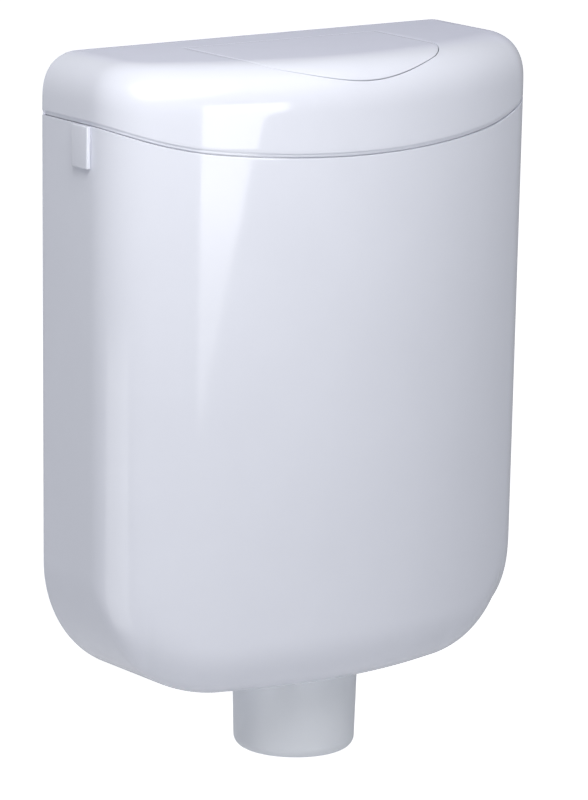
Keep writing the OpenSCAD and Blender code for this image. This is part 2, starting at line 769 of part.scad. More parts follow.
// Yoke on the overflow tube, with the bar that the rocker lifts
overflow_z = -overflow_drop;
lift_bar_z = rocker_z + rocker_up + move_gap + lift_bar_r;
yoke_t = 4;
yoke_x = prong_in - yoke_t - move_gap;
yoke_wall = 3;
yoke_grip = 12;
yoke_rim = 5;
module lift_yoke() {
    color("#3c78b4") at_outlet() difference() {
        union() {
            tube_z(overflow_z - yoke_grip, overflow_z + yoke_rim, tube_r + yoke_wall, tube_r + thread_fit);
            translate([-tube_r - yoke_wall / 2, -yoke_t, overflow_z])
                cube([2 * tube_r + yoke_wall, 2 * yoke_t, yoke_rim]);
            for (s = [-1, 1]) translate([s * (yoke_x - yoke_t / 2) - yoke_t / 2, -yoke_t, overflow_z])
                cube([yoke_t, 2 * yoke_t, lift_bar_z + lift_bar_r + yoke_wall - overflow_z]);
        }
        translate([0, 0, lift_bar_z]) rod_x(-half_w, half_w, lift_bar_r + run_fit);
    }
}
module lift_bar() {
    color("silver") at_outlet() translate([0, 0, lift_bar_z])
        rod_x(-rocker_half, rocker_half, lift_bar_r);
}

// Moving flush valve: tube with its foot, seal, retainer and float
seal_t = 3;
seal_gap = 0.1;
seal_z = seat_z + seal_gap;
foot_r = seat_r + 5;
foot_t = 3;
tube_below = 1;
retainer_h = 5;
valve_float_rise = 110;
float_low = bottom_z + valve_float_rise;
valve_float_h = 60;
valve_float_r = 30;
module valve_tube() {
    color("#dfe2e6") at_outlet() {
        tube_z(seat_z - retainer_h - tube_below, overflow_z, tube_r, tube_r - tube_wall);
        tube_z(seal_z + seal_t, seal_z + seal_t + foot_t, foot_r, tube_r - tube_wall);
    }
}
module valve_seal() {
    color("#2b2d30") at_outlet() tube_z(seal_z, seal_z + seal_t, foot_r + 1, tube_r + thread_fit);
}
module seal_retainer() {
    color("#3c78b4") at_outlet() tube_z(seal_z - retainer_h, seal_z, seat_r - 2, tube_r + thread_fit);
}
module valve_float() {
    color("#f4f5f6") at_outlet() difference() {
        tube_z(float_low, float_low + valve_float_h, valve_float_r, tube_r + thread_fit);
        tube_z(float_low - eps, float_low + valve_float_h - float_wall, valve_float_r - float_wall,
            tube_r + thread_fit + float_wall);
    }
}

// Fixed outlet: cage, seat, gasket, washer, nut, pipe seal and collar
cage_r = flange_r - 1;
cage_t = 5;
cage_z = flange_z + flange_t;
cage_rise = 90;
cage_top = bottom_z + cage_rise;
leg_w = 7;
leg_t = cage_t - 1;
module valve_cage() {
    color("#e4e6ea") at_outlet() {
        tube_z(cage_z, cage_z + cage_t, cage_r, cage_r - cage_t);
        tube_z(cage_top - cage_t, cage_top, cage_r, tube_r + move_gap);
        for (a = [45:90:315]) rotate(a) translate([cage_r - cage_t, -leg_w / 2, cage_z])
            cube([leg_t, leg_w, cage_top - cage_z]);
    }
}
seal_groove = 2;
pipe_seal_h = 6;
pipe_seal_z = spigot_low + 8;
module valve_seat() {
    color("#e4e6ea") at_outlet() difference() {
        union() {
            translate([0, 0, flange_z]) cylinder(h = flange_t, r = flange_r);
            translate([0, 0, spigot_low]) cylinder(h = flange_z - spigot_low + eps, r = spigot_r);
            translate([0, 0, flange_z]) cylinder(h = seat_z - flange_z, r = seat_r + 3);
        }
        translate([0, 0, spigot_low - eps]) cylinder(h = seat_z - spigot_low + 2 * eps, r = seat_r);
        translate([0, 0, spigot_low - eps]) cylinder(h = pipe_depth + eps, r = pipe_r);
        translate([0, 0, pipe_seal_z]) cylinder(h = pipe_seal_h, r = pipe_r + seal_groove);
    }
}
module seat_gasket() {
    color("#2b2d30") at_outlet() tube_z(floor_z, flange_z, flange_r - 1, outlet_hole_r);
}
outlet_washer_t = 3;
web_t = 3;
module outlet_washer() {
    color("#2b2d30") at_outlet() tube_z(bottom_z - outlet_washer_t, bottom_z, flange_r - 3, outlet_hole_r);
}
nut_top = bottom_z - outlet_washer_t - web_t;
module outlet_nut() {
    color("#e4e6ea") at_outlet() difference() {
        translate([0, 0, nut_top - nut_h]) cylinder(h = nut_h, r = nut_r, $fn = 6);
        translate([0, 0, nut_top - nut_h - eps]) cylinder(h = nut_h + 2 * eps, r = spigot_r + thread_fit);
    }
}
module pipe_seal() {
    color("#2b2d30") at_outlet()
        tube_z(pipe_seal_z + thread_fit, pipe_seal_z + pipe_seal_h - thread_fit,
            pipe_r + seal_groove - thread_fit, pipe_r - thread_fit);
}
collar_wall = 2.5;
collar_rise = 6;
collar_bore = pipe_r + 2.5;
module collar_section() {
    low = bottom_z - collar_h;
    difference() {
        union() {
            polygon([[0, low + collar_edge_r], [collar_low_r, low + collar_edge_r], [collar_r, bottom_z],
                [collar_r, bottom_z + collar_rise], [0, bottom_z + collar_rise]]);
            square_to = collar_low_r - collar_edge_r;
            translate([0, low]) square([square_to, 2 * collar_edge_r]);
            translate([square_to, low + collar_edge_r]) circle(collar_edge_r);
        }
        translate([-eps, low - eps]) square([collar_bore + eps, collar_h]);
        translate([-eps, low + collar_wall]) square([collar_low_r - collar_wall + eps,
            collar_h - collar_wall - outlet_washer_t - web_t]);
        translate([-eps, bottom_z - outlet_washer_t])
            square([collar_r - collar_wall + eps, 2 * collar_rise]);
        translate([-eps, low]) square([spigot_r + thread_fit + eps, 2 * collar_h]);
    }
}
module outlet_collar() {
    color("#e6e8ef") difference() {
        at_outlet() rotate_extrude() collar_section();
        tank_form(0, -eps);
    }
}

tank();
lid();
flush_plate();
hinge_pins();
return_spring();
inlet_blank();
blank_clip();
inlet_nipple();
inlet_washer();
inlet_nut();
fill_valve_body();
diaphragm();
valve_bonnet();
valve_piston();
arm_pin();
float_arm();
float_rod();
float();
fill_tube();
bridge();
bridge_screws();
rocker_pin();
rocker();
lift_yoke();
lift_bar();
valve_tube();
valve_float();
valve_seal();
seal_retainer();
valve_cage();
valve_seat();
seat_gasket();
outlet_washer();
outlet_nut();
pipe_seal();
outlet_collar();
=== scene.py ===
import json
from math import atan, atan2, cos, hypot, pi, radians, sin, sqrt, tan

import bpy
from mathutils import Matrix, Vector

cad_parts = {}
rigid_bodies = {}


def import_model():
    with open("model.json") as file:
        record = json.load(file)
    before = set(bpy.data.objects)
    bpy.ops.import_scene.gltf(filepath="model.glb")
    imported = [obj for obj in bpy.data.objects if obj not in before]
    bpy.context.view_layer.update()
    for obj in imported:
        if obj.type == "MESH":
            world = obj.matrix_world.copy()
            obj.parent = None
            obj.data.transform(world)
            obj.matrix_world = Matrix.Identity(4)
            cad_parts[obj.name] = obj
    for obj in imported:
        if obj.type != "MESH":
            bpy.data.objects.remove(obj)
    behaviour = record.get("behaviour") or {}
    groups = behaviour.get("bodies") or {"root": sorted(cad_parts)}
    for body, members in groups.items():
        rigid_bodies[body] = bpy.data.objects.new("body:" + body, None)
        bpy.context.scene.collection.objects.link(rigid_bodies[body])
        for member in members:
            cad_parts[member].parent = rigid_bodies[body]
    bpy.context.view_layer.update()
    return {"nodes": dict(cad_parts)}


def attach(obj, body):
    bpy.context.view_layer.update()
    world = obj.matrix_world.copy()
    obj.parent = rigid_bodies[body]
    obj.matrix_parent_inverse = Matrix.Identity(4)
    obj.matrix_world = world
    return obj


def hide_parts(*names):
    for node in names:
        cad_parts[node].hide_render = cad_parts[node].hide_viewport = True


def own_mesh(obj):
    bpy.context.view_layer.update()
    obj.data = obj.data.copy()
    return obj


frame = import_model()
mm = 0.001
print("frame loaded:", len(frame["nodes"]), "CAD nodes")

for leftOver in [o for o in bpy.data.objects if o.name in ("Cube", "Light", "Camera")]:
    bpy.data.objects.remove(leftOver)


# small tools that the pieces share

def deselectAll():
    if bpy.context.mode != "OBJECT":
        bpy.ops.object.mode_set(mode="OBJECT")
    bpy.ops.object.select_all(action="DESELECT")


def pickOnly(*pieces):
    deselectAll()
    for piece in pieces:
        piece.select_set(True)
    bpy.context.view_layer.objects.active = pieces[0]


def drapeGrid(name, cols, rows, place, closed=False):  # place(i, j) gives a grid point's place in mm
    deselectAll()
    bpy.ops.mesh.primitive_grid_add(x_subdivisions=cols, y_subdivisions=rows, size=1)
    piece = bpy.context.active_object
    piece.name = piece.data.name = name
    for point in piece.data.vertices:
        i, j = round((point.co.x + 0.5) * cols), round((point.co.y + 0.5) * rows)
        point.co = Vector(place(i, j)) * mm
    if closed:
        mergeDoubles(piece)
    return piece


def mergeDoubles(piece, distance=0.004):  # mm
    pickOnly(piece)
    bpy.ops.object.mode_set(mode="EDIT")
    bpy.ops.mesh.select_all(action="SELECT")
    bpy.ops.mesh.remove_doubles(threshold=distance * mm)
    bpy.ops.mesh.normals_make_consistent(inside=False)
    bpy.ops.object.mode_set(mode="OBJECT")


def fillWhere(piece, test):  # one flat face over the open edge whose points pass the test
    pickOnly(piece)
    bpy.ops.object.mode_set(mode="EDIT")
    bpy.ops.mesh.select_mode(type="EDGE")
    bpy.ops.mesh.select_all(action="DESELECT")
    bpy.ops.mesh.select_non_manifold(extend=False, use_wire=False, use_multi_face=False,
                                     use_non_contiguous=False, use_verts=False)
    bpy.ops.object.mode_set(mode="OBJECT")
    for edge in piece.data.edges:
        edge.select = edge.select and all(test(piece.data.vertices[v].co / mm) for v in edge.vertices)
    bpy.ops.object.mode_set(mode="EDIT")
    bpy.ops.mesh.edge_face_add()
    bpy.ops.object.mode_set(mode="OBJECT")


def useModifier(piece, kind, **settings):
    pickOnly(piece)
    modifier = piece.modifiers.new(kind.lower(), kind)
    for key, value in settings.items():
        setattr(modifier, key, value)
    bpy.ops.object.modifier_apply(modifier=modifier.name)


def giveWall(piece, thickness):
    useModifier(piece, "SOLIDIFY", thickness=thickness * mm, offset=-1, use_even_offset=True)


def softenEdges(piece, width, segments=3, angle=40):
    useModifier(piece, "BEVEL", width=width * mm, segments=segments, limit_method="ANGLE",
                angle_limit=radians(angle), harden_normals=False)


def cutAway(piece, cutter):
    useModifier(piece, "BOOLEAN", operation="DIFFERENCE", solver="EXACT", object=cutter)
    bpy.data.objects.remove(cutter)


def smoothFaces(piece, angle=32):
    pickOnly(piece)
    bpy.ops.object.shade_smooth_by_angle(angle=radians(angle))


def joinPieces(name, pieces):
    pickOnly(*pieces)
    bpy.ops.object.join()
    pieces[0].name = pieces[0].data.name = name
    return pieces[0]


def block(name, low, high, edge):  # a moulded block between two corners in mm, with eased edges
    deselectAll()
    bpy.ops.mesh.primitive_cube_add(size=1)
    piece = bpy.context.active_object
    piece.name = piece.data.name = name
    for point in piece.data.vertices:
        point.co = Vector([(l + h) / 2 + c * (h - l) for l, h, c in zip(low, high, point.co)]) * mm
    if edge:
        softenEdges(piece, edge)
    return piece


def rod(name, start, end, radius, sides=64):  # a plain round rod between two points in mm
    deselectAll()
    bpy.ops.mesh.primitive_cylinder_add(vertices=sides, radius=radius * mm, depth=1)
    piece = bpy.context.active_object
    piece.name = piece.data.name = name
    start, end = Vector(start) * mm, Vector(end) * mm
    turn = (end - start).to_track_quat("Z", "Y")
    length = (end - start).length
    for point in piece.data.vertices:
        point.co = (start + end) / 2 + turn @ Vector((point.co.x, point.co.y, point.co.z * length))
    return piece


def lathe(name, profile, centre, steps):  # turns a (radius, height) profile in mm about an upright axis
    def place(i, j):
        r, z = profile[j % len(profile)]
        a = 2 * pi * i / steps
        return centre[0] + r * cos(a), centre[1] + r * sin(a), z
    return drapeGrid(name, steps, len(profile), place, closed=True)


def mount(piece, body, node, material):
    piece.data.materials.clear()
    piece.data.materials.append(material)
    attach(piece, body)
    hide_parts(node)


# colours and materials

def hexColour(code):  # sRGB hex to linear
    parts = [int(code[k:k + 2], 16) / 255 for k in (1, 3, 5)]
    return [c / 12.92 if c <= 0.04045 else ((c + 0.055) / 1.055) ** 2.4 for c in parts] + [1.0]


def addNode(tree, kind, links=None, **settings):  # links: socket to value or to another node's output
    node = tree.nodes.new(kind)
    for key, value in settings.items():
        setattr(node, key, value)
    for socket, value in (links or {}).items():
        if isinstance(value, bpy.types.NodeSocket):
            tree.links.new(value, node.inputs[socket])
        else:
            node.inputs[socket].default_value = value
    return node


def perMm(size):  # texture scale for a pattern that repeats every size mm on Object coordinates
    return 1 / (size * mm)


def newMaterial(name):
    material = bpy.data.materials.new(name)
    material.use_nodes = True
    material.node_tree.nodes.clear()
    return material, material.node_tree


# flow, peel and scuff are in mm; wave and grain are a bump's strength and its depth in mm
def mouldedPlastic(name, look):
    material, tree = newMaterial(name)
    where = addNode(tree, "ShaderNodeTexCoord").outputs["Object"]
    flow = addNode(tree, "ShaderNodeTexNoise", {
        "Vector": where, "Scale": perMm(look["flow"]), "Detail": 3.0, "Roughness": 0.55})
    peel = addNode(tree, "ShaderNodeTexNoise", {
        "Vector": where, "Scale": perMm(look["peel"]), "Detail": 2.0})
    scuff = addNode(tree, "ShaderNodeTexNoise", {
        "Vector": where, "Scale": perMm(look["scuff"]), "Detail": 5.0, "Roughness": 0.62})
    tint = addNode(tree, "ShaderNodeMix", {
        0: flow.outputs["Fac"], 6: hexColour(look["colour"]), 7: hexColour(look["shade"])},
        data_type="RGBA")
    gloss = addNode(tree, "ShaderNodeMapRange", {
        "Value": scuff.outputs["Fac"], "From Min": 0.3, "From Max": 0.72,
        "To Min": look["rough"][0], "To Max": look["rough"][1]})
    draw = addNode(tree, "ShaderNodeBump", {
        "Height": flow.outputs["Fac"], "Strength": look["wave"][0], "Distance": look["wave"][1] * mm})
    grain = addNode(tree, "ShaderNodeBump", {
        "Height": peel.outputs["Fac"], "Strength": look["grain"][0], "Distance": look["grain"][1] * mm,
        "Normal": draw.outputs["Normal"]})
    skin = addNode(tree, "ShaderNodeBsdfPrincipled", {
        "Base Color": tint.outputs[2], "Roughness": gloss.outputs["Result"],
        "Normal": grain.outputs["Normal"], "IOR": look["ior"]})
    addNode(tree, "ShaderNodeOutputMaterial", {"Surface": skin.outputs["BSDF"]})
    return material


# high-gloss polystyrene out of a polished mould: cool white, soft-edged reflections that waver a little
glossWhite = mouldedPlastic("glossMouldedPolystyrene", {
    "colour": "#e8eaf3", "shade": "#e3e5ee", "flow": 70, "peel": 2.2, "scuff": 30, "rough": (0.05, 0.09),
    "wave": (0.25, 0.5), "grain": (0.05, 0.04), "ior": 1.52})
# the collar's polystyrene, out of a blasted mould: satin white, so lamps show as broad soft shading
satinWhite = mouldedPlastic("satinMouldedPolystyrene", {
    "colour": "#e6e9ee", "shade": "#e1e4ea", "flow": 60, "peel": 1.2, "scuff": 20, "rough": (0.36, 0.46),
    "wave": (0.2, 0.4), "grain": (0.08, 0.04), "ior": 1.52})
# natural polypropylene mouldings inside the tank: milky white with a satin skin
milkyPlastic = mouldedPlastic("satinPolypropylene", {
    "colour": "#dedfdc", "shade": "#d2d4d2", "flow": 25, "peel": 1.1, "scuff": 9, "rough": (0.34, 0.5),
    "wave": (0.2, 0.3), "grain": (0.18, 0.05), "ior": 1.49})
# dyed acetal for the levers and caps: even blue with a slightly waxy sheen
bluePlastic = mouldedPlastic("dyedAcetal", {
    "colour": "#3f78b2", "shade": "#356aa3", "flow": 20, "peel": 0.9, "scuff": 8, "rough": (0.3, 0.44),
    "wave": (0.2, 0.3), "grain": (0.2, 0.05), "ior": 1.48})
# grey polypropylene for the clip: matt, spark-eroded texture, coarser than a real one so that it shows
greyPlastic = mouldedPlastic("sparkTexturedPolypropylene", {
    "colour": "#959ba3", "shade": "#878d95", "flow": 18, "peel": 0.6, "scuff": 7, "rough": (0.45, 0.6),
    "wave": (0.2, 0.3), "grain": (0.4, 0.06), "ior": 1.49})
# extruded pipe: cool grey-white and semi-gloss, without the streaks, which are too faint to see
pipePlastic = mouldedPlastic("extrudedPolypropylenePipe", {
    "colour": "#d6d9de", "shade": "#c9cdd4", "flow": 30, "peel": 1.4, "scuff": 12, "rough": (0.26, 0.4),
    "wave": (0.3, 0.4), "grain": (0.12, 0.05), "ior": 1.49})
# blow-moulded float: cloudy white polyethylene, soft satin
floatPlastic = mouldedPlastic("blowMouldedPolyethylene", {
    "colour": "#e6e5df", "shade": "#d8d8d3", "flow": 16, "peel": 1.6, "scuff": 10, "rough": (0.38, 0.55),
    "wave": (0.4, 0.6), "grain": (0.25, 0.06), "ior": 1.51})
# pressed EPDM rubber: near black, matt, dusty bloom
sealRubber = mouldedPlastic("pressedRubber", {
    "colour": "#2a2b2d", "shade": "#3a3b3c", "flow": 9, "peel": 0.5, "scuff": 5, "rough": (0.6, 0.82),
    "wave": (0.3, 0.3), "grain": (0.5, 0.05), "ior": 1.52})


def turnedMetal(name, look):  # line and stain are in mm
    material, tree = newMaterial(name)
    where = addNode(tree, "ShaderNodeTexCoord").outputs["Object"]
    spread = addNode(tree, "ShaderNodeMapping", {"Vector": where, "Scale": look["stretch"]})
    lines = addNode(tree, "ShaderNodeTexNoise", {
        "Vector": spread.outputs["Vector"], "Scale": perMm(look["line"]), "Detail": 4.0, "Roughness": 0.6})
    stain = addNode(tree, "ShaderNodeTexNoise", {
        "Vector": where, "Scale": perMm(look["stain"]), "Detail": 4.0})
    tint = addNode(tree, "ShaderNodeMix", {
        0: stain.outputs["Fac"], 6: hexColour(look["colour"]), 7: hexColour(look["shade"])},
        data_type="RGBA")
    gloss = addNode(tree, "ShaderNodeMapRange", {
        "Value": lines.outputs["Fac"], "From Min": 0.3, "From Max": 0.7,
        "To Min": look["rough"][0], "To Max": look["rough"][1]})
    marks = addNode(tree, "ShaderNodeBump", {
        "Height": lines.outputs["Fac"], "Strength": 0.35, "Distance": 0.03 * mm})
    skin = addNode(tree, "ShaderNodeBsdfPrincipled", {
        "Base Color": tint.outputs[2], "Metallic": 1.0, "Roughness": gloss.outputs["Result"],
        "Normal": marks.outputs["Normal"]})
    addNode(tree, "ShaderNodeOutputMaterial", {"Surface": skin.outputs["BSDF"]})
    return material


# drawn stainless wire and pins: lines along X from the die, coarser than real ones so that they show
drawnSteel = turnedMetal("drawnStainlessSteel", {
    "colour": "#c3c5c8", "shade": "#aeb1b5", "line": 0.5, "stain": 8, "stretch": (0.05, 1, 1),
    "rough": (0.2, 0.36)})
# turned brass: rings across X from the lathe, coarser than real ones so that they show, dulled yellow
turnedBrass = turnedMetal("turnedBrass", {
    "colour": "#c9a560", "shade": "#a98546", "line": 0.6, "stain": 7, "stretch": (1, 0.08, 0.08),
    "rough": (0.22, 0.42)})
print("materials ready:", len(bpy.data.materials))


# the plan and the rim, in mm, shared by tank and lid

body = {
    "halfW": 190, "sideFlat": 62, "cornerR": 50, "depth": 148, "rimZ": 60, "bottomZ": -370, "draft": 0.48,
    "lowR": 95, "lowEdge": 48, "wall": 4, "seam": 3.5, "rimDip": 24, "rimMid": 120, "rimEndSlope": 23,
    "sideSteps": 14, "cornerSteps": 22, "frontSteps": 64,
    "backTurn": 30, "backTurnSteps": 16, "backPitch": 10,
}
cornerX = body["halfW"] - body["cornerR"]
bow = 2 * atan((body["depth"] - body["sideFlat"] - body["cornerR"]) / cornerX)
frontR = cornerX / sin(bow) + body["cornerR"]
frontY = cornerX / tan(bow) - body["sideFlat"]
lowZ = body["bottomZ"] + body["lowR"]

endSlope = radians(body["rimEndSlope"])  # the rim is a shallow middle arc with a steeper arc at each end
rimJoin = (2 * body["rimDip"] - (body["halfW"] - body["rimMid"]) * endSlope) / body["halfW"]
rimMidR = body["rimMid"] / sin(rimJoin)
rimEndR = (body["halfW"] - body["rimMid"]) / (sin(endSlope) - sin(rimJoin))
rimEndX = body["halfW"] - rimEndR * sin(endSlope)
rimEndZ = body["rimZ"] + rimEndR * cos(endSlope)
rimMidZ = rimEndZ + (rimMidR - rimEndR) * cos(rimJoin)


def rimAt(x):
    x = min(abs(x), body["halfW"])
    if x < body["rimMid"]:
        return rimMidZ - sqrt(rimMidR ** 2 - x * x)
    return rimEndZ - sqrt(rimEndR ** 2 - (x - rimEndX) ** 2)


def drawn(z):  # how far the draft has moved a wall at a height
    return (z - body["rimZ"]) * tan(radians(body["draft"]))


lowX = body["halfW"] + drawn(lowZ) - body["lowR"]


def planGap(x, y):  # distance outside the D-shaped plan, and the direction it is measured in
    x, side = abs(x), 1 if x >= 0 else -1
    if y >= -body["sideFlat"]:
        return x - body["halfW"], (side, 0)
    if atan2(x, frontY - y) <= bow:
        far = hypot(x, frontY - y)
        return far - frontR, (side * x / far, (y - frontY) / far)
    far = hypot(x - cornerX, y + body["sideFlat"])
    return far - body["cornerR"], (side * (x - cornerX) / far, (y + body["sideFlat"]) / far)


def tankGap(x, y, z):  # distance outside the tank's rounded form
    a, normal = planGap(x, y)
    a -= drawn(z)
    side = 1 if x >= 0 else -1
    if z >= lowZ:
        b, bx = abs(x) - body["halfW"] - drawn(z), side
    elif abs(x) > lowX:
        far = hypot(abs(x) - lowX, z - lowZ)
        b, bx = far - body["lowR"], side * (abs(x) - lowX) / far
    else:
        b, bx = body["bottomZ"] - z, 0
    r, c = body["lowEdge"], min(normal[0] * bx, 1)
    if c < 0.999:  # round the edge where front and underside meet
        alpha = ((a + r) - c * (b + r)) / (1 - c * c)
        beta = ((b + r) - c * (a + r)) / (1 - c * c)
        if alpha > 0 and beta > 0:
            return sqrt(alpha ** 2 + beta ** 2 + 2 * alpha * beta * c) - r
    return max(a, b)


def meet(gap, start, along, far, halvings=44):  # where a ray leaves a form
    near = 0
    for step in range(halvings):
        half = (near + far) / 2
        if gap(*(s + half * d for s, d in zip(start, along))) < 0:
            near = half
        else:
            far = half
    return [s + near * d for s, d in zip(start, along)]


def planLoop(inset):  # points round side, corner, front, corner and side, from left to right
    side, corner, front = body["sideSteps"], body["cornerSteps"], body["frontSteps"]
    r = body["cornerR"] - inset
    left = [(-body["halfW"] + inset, -body["sideFlat"] * k / side) for k in range(side)]
    for k in range(corner):
        a = (pi / 2 - bow) * k / corner
        left.append((-cornerX - r * cos(a), -body["sideFlat"] - r * sin(a)))
    middle = []
    for k in range(front + 1):
        a = bow * (2 * k / front - 1)
        middle.append(((frontR - inset) * sin(a), frontY - (frontR - inset) * cos(a)))
    return left + middle + [(-x, y) for x, y in reversed(left)]


def backLoop(extra=()):  # points along the wall from right to left, close together on the shoulders
    r, steps, pitch = body["backTurn"], body["backTurnSteps"], body["backPitch"]
    turns = [body["halfW"] - r * (1 - cos(pi / 2 * k / steps)) for k in range(1, steps + 1)]
    half = (body["halfW"] - r) // pitch
    xs = set(turns) | {-x for x in turns} | {pitch * k for k in range(1 - half, half)} | set(extra)
    return [(x, 0.0) for x in sorted(xs, reverse=True)]


# a strip that follows the plan; section holds (further inset, height over the rim)
def ringStrip(name, inset, rear, section):
    loop = planLoop(inset) + [p for p in backLoop() if abs(p[0]) < body["halfW"] - inset - 1]

    def place(i, j):
        x, y = loop[i % len(loop)]
        y = min(y, -rear)
        inner, up = section[j % len(section)]
        nx, ny = planGap(x, y)[1]
        if y > -rear - 0.01:
            nx, ny = (nx if abs(x) > body["halfW"] - inset - 0.01 else 0), 1
        return x - nx * inner, y - ny * inner, rimAt(x) + up
    return drapeGrid(name, len(loop), len(section), place, closed=True)


# tank: side, front and bottom draped in one sheet, the back as a second, then walls and holes

tank = {
    "wallRows": 17, "rimBand": 1.6, "turnRows": 44, "backCols": 38, "axisY": -98,
    "pastWall": 30, "pastFloor": 250, "rimEdge": 0.7, "screwX": 140, "screwY": (5, -9), "screwR": 3.5,
    "inletX": (175, 200), "inletY": -54, "inletZ": 41.5, "inletR": 8.63, "inletSides": 96,
    "outletY": -59, "outletZ": (-380, -355), "outletR": 31.4, "outletSides": 128,
    "lipIn": 2.7, "lipSection": ((0, -6), (0, 5.2), (0.35, 6), (0.85, 6), (1.2, 5.2), (1.2, -6)),
    "bossX": 46, "bossY": (-2, -12), "bossZ": 32, "bossR": 6, "bossEdge": 0.4,
    "bossHoleY": (-5.5, -20), "bossHoleR": 2,
}
plan = planLoop(0)


def wallZ(top, j):  # a narrow first row keeps the rim's rounding from bending the reflections below it
    if j == 0:
        return top
    return top - tank["rimBand"] + (lowZ - top + tank["rimBand"]) * (j - 1) / (tank["wallRows"] - 1)


def tankPoint(i, j):
    px, py = plan[i]
    qx = max(-lowX, min(lowX, px))
    qy = max(tank["axisY"], py)
    away = hypot(px - qx, py - qy)
    dx, dy = (px - qx) / away, (py - qy) / away
    if j <= tank["wallRows"]:
        z = wallZ(rimAt(px) - body["seam"], j)
        return meet(tankGap, (qx, qy, z), (dx, dy, 0), away + tank["pastWall"])
    turn = pi / 2 * (j - tank["wallRows"]) / tank["turnRows"]
    along = (dx * cos(turn), dy * cos(turn), -sin(turn))
    return meet(tankGap, (qx, qy, lowZ), along, tank["pastFloor"])


tankRows = tank["wallRows"] + tank["turnRows"]
shell = drapeGrid("tankSheet", len(plan) - 1, tankRows, tankPoint)
backEdge = [tankPoint(len(plan) - 1, j) for j in range(tankRows + 1)]


def backPoint(i, j):
    share = 2 * i / tank["backCols"] - 1
    x, z = backEdge[j][0], backEdge[j][2]
    if j <= tank["wallRows"]:
        z = wallZ(rimAt(share * body["halfW"]) - body["seam"], j)
    return share * x, 0, z


tankShell = joinPieces("tankShell", [shell, drapeGrid("tankBack", tank["backCols"], tankRows, backPoint)])
mergeDoubles(tankShell)
fillWhere(tankShell, lambda p: p.z < body["bottomZ"] + 0.05)
mergeDoubles(tankShell)
giveWall(tankShell, body["wall"])
for s in (-1, 1):
    screw = [(s * tank["screwX"], y, 0) for y in tank["screwY"]]
    cutAway(tankShell, rod("screwCut", *screw, tank["screwR"]))
    inlet = [(s * x, tank["inletY"], tank["inletZ"]) for x in tank["inletX"]]
    cutAway(tankShell, rod("inletCut", *inlet, tank["inletR"], tank["inletSides"]))
outlet = [(0, tank["outletY"], z) for z in tank["outletZ"]]
cutAway(tankShell, rod("outletCut", *outlet, tank["outletR"], tank["outletSides"]))
softenEdges(tankShell, tank["rimEdge"], segments=4, angle=50)

lip = ringStrip("tankLip", tank["lipIn"], tank["lipIn"], tank["lipSection"])
bosses = []
for s in (-1, 1):
    boss = rod("boss", *[(s * tank["bossX"], y, tank["bossZ"]) for y in tank["bossY"]], tank["bossR"])
    hole = [(s * tank["bossX"], y, tank["bossZ"]) for y in tank["bossHoleY"]]
    cutAway(boss, rod("bossCut", *hole, tank["bossHoleR"]))
    softenEdges(boss, tank["bossEdge"])
    bosses.append(boss)
tankShell = joinPieces("tankShell", [tankShell, lip] + bosses)
smoothFaces(tankShell)
mount(tankShell, "tank", "tank", glossWhite)
print("tank shell:", len(tankShell.data.polygons), "faces")


# lid: draped from the plate's opening out over the shoulder and down the skirt

lid = {
    "top": 101.5, "shoulderSide": 32, "shoulderFront": 36, "shoulderPower": 2.4, "wall": 2.2, "edge": 0.4,
    "topRows": 30, "skirtRows": 8, "centreY": -80,
    "stepIn": 1.0, "stepRear": 0.2,
    "stepSection": ((0.2, -2.5), (0, -2.3), (0, 1.2), (1.0, 1.2), (1.0, -2.5)),
    "hingeX": 59, "hingeY": -39, "hingeZ": 92.5, "pinR": 2.55, "lugR": 5.5, "lugW": 6, "lugBack": 17,
    "lugSteps": 48, "rootY": (-30.2, -22), "rootLow": 87.3, "intoTop": 100.4,
    "barX": 95, "barY": (-72, -54), "barZ": (76.5, 80.5), "barEdge": 0.6, "hangerW": 5, "hangerUp": 0.5,
    "seamX": (187.6, 189.7), "seamY": (-1.7, -0.2), "seamUp": (-3.45, 1), "seamEdge": 0.2,
    "padX": (183.4, 188.9), "padY": ((-15, -5), (-57, -47)), "padZ": (66.2, 76), "blockEdge": 0.5,
}
plate = {
    "halfW": 87, "rear": 31, "straight": 65, "cornerR": 36, "front": 144,
    "gap": (0.4, 0.8), "rearGap": 0.08, "wall": 3, "rows": 40, "edge": 0.3, "lugX": 52.4, "lugUp": 7.5,
    "fingerX": (-7, 7), "fingerY": (-121.5, -114.5), "fingerZ": (44.6, 99.6), "tipR": 3.45,
}
plateX = plate["halfW"] - plate["cornerR"]
plateY = -plate["rear"] - plate["straight"]
plateBow = 2 * atan((plate["front"] + plateY - plate["cornerR"]) / plateX)
plateR = plateX / sin(plateBow) + plate["cornerR"]
plateArcY = plateX / tan(plateBow) + plateY


def plateGap(x, y):  # distance outside the plate's plan
    x = abs(x)
    if y >= plateY:
        dx, dy = x - plate["halfW"], y + plate["rear"]
        return hypot(dx, dy) if dx > 0 and dy > 0 else max(dx, dy)
    if atan2(x, plateArcY - y) <= plateBow:
        return hypot(x, plateArcY - y) - plateR
    return hypot(x - plateX, y - plateY) - plate["cornerR"]


def lidHeight(x, y):  # flat top that rolls over a shoulder, tighter at the sides than at the front
    gap, normal = planGap(x, y)
    turn = max(0, min(1, -normal[1] / cos(bow)))
    r = lid["shoulderSide"] + (lid["shoulderFront"] - lid["shoulderSide"]) * turn * turn * (3 - 2 * turn)
    t = min(1, max(0, 1 + gap / r))
    return lid["top"] - r * (1 - (1 - t ** lid["shoulderPower"]) ** (1 / lid["shoulderPower"]))


rearReach = -lid["centreY"] / (-lid["centreY"] - plate["rear"])
rearX = plate["halfW"] * rearReach  # where the ray through a rear corner of the opening meets the wall
lidLoop = planLoop(0) + backLoop((rearX, -rearX))


